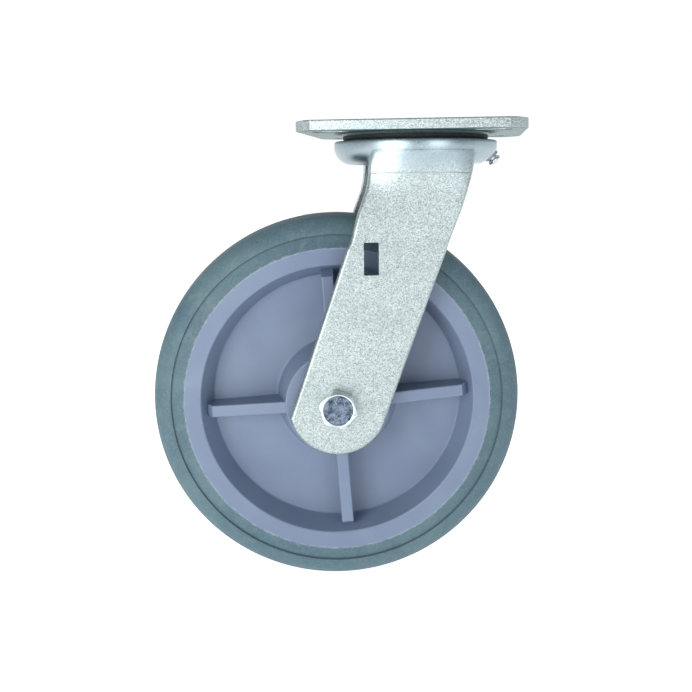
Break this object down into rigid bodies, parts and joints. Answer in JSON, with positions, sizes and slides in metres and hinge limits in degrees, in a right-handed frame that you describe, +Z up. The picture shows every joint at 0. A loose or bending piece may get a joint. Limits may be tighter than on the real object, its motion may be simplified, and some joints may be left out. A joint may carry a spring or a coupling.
{
  "type": "swivel plate caster wheel",
  "caption": "Heavy-duty swivel plate caster: grey rubber tyre on a ribbed plastic core, pressed zinc-plated fork, slotted top plate with double ball race.",
  "frame": {"origin": "swivel axis at the top face of the mounting plate", "axes": "+Z up along the swivel axis, the plate's long side along X; at rest the fork stands 9 degrees round from the plate, its wheel trailing towards -X and the bolt head towards -Y"},
  "size_m": [0.2055, 0.1063, 0.251],
  "materials": {
    "zinc_steel": "bright zinc plate, spangled",
    "zinc_fastener": "bright zinc plate",
    "turned_steel": "turned",
    "bearing_steel": "ground and polished",
    "seal_rubber": "matt",
    "nylon": "matt",
    "cap_plastic": "satin",
    "core_plastic": "satin",
    "tyre_rubber": "matt"
  },
  "bodies": {
    "mount_plate": {"top_plate": "zinc_steel", "kingpin": "zinc_fastener", "lower_race_cup": "zinc_steel", "kingpin_washer": "zinc_fastener", "kingpin_nut": "zinc_fastener", "raceway_seal": "seal_rubber"},
    "swivel_balls": {"load_balls": "bearing_steel", "thrust_balls": "bearing_steel"},
    "fork": {"fork_yoke": "zinc_steel", "grease_nipple": "zinc_fastener", "axle_bolt": "zinc_fastener", "axle_washer": "zinc_fastener", "axle_nut": "zinc_fastener", "nut_insert": "nylon", "axle_sleeve": "turned_steel", "bearing_spacer": "turned_steel", "front_bearing_inner_ring": "bearing_steel", "rear_bearing_inner_ring": "bearing_steel", "front_collar": "turned_steel", "rear_collar": "turned_steel"},
    "bearing_balls": {"front_bearing_balls": "bearing_steel", "front_bearing_cage": "bearing_steel", "rear_bearing_balls": "bearing_steel", "rear_bearing_cage": "bearing_steel"},
    "wheel": {"wheel_core": "core_plastic", "tyre": "tyre_rubber", "front_bearing_outer_ring": "bearing_steel", "rear_bearing_outer_ring": "bearing_steel", "front_bearing_seals": "seal_rubber", "rear_bearing_seals": "seal_rubber", "front_dust_cap": "cap_plastic", "rear_dust_cap": "cap_plastic"}
  },
  "joints": [
    {"name": "swivel_turn", "type": "hinge", "parent": "mount_plate", "child": "fork", "pos_m": [0, 0, 0], "axis": [0, 0, 1], "continuous": true},
    {"name": "swivel_ball_roll", "type": "hinge", "parent": "mount_plate", "child": "swivel_balls", "pos_m": [0, 0, 0], "axis": [0, 0, 1], "continuous": true},
    {"name": "wheel_spin", "type": "hinge", "parent": "fork", "child": "wheel", "pos_m": [-0.04445, -0.00704, -0.1494], "axis": [-0.1564, 0.9877, 0], "continuous": true},
    {"name": "bearing_ball_roll", "type": "hinge", "parent": "fork", "child": "bearing_balls", "pos_m": [-0.04445, -0.00704, -0.1494], "axis": [-0.1564, 0.9877, 0], "continuous": true}
  ],
  "couplings": [
    {"joint": "swivel_ball_roll", "follows": "swivel_turn", "ratio": 0.5},
    {"joint": "bearing_ball_roll", "follows": "wheel_spin", "ratio": 0.6185}
  ]
}
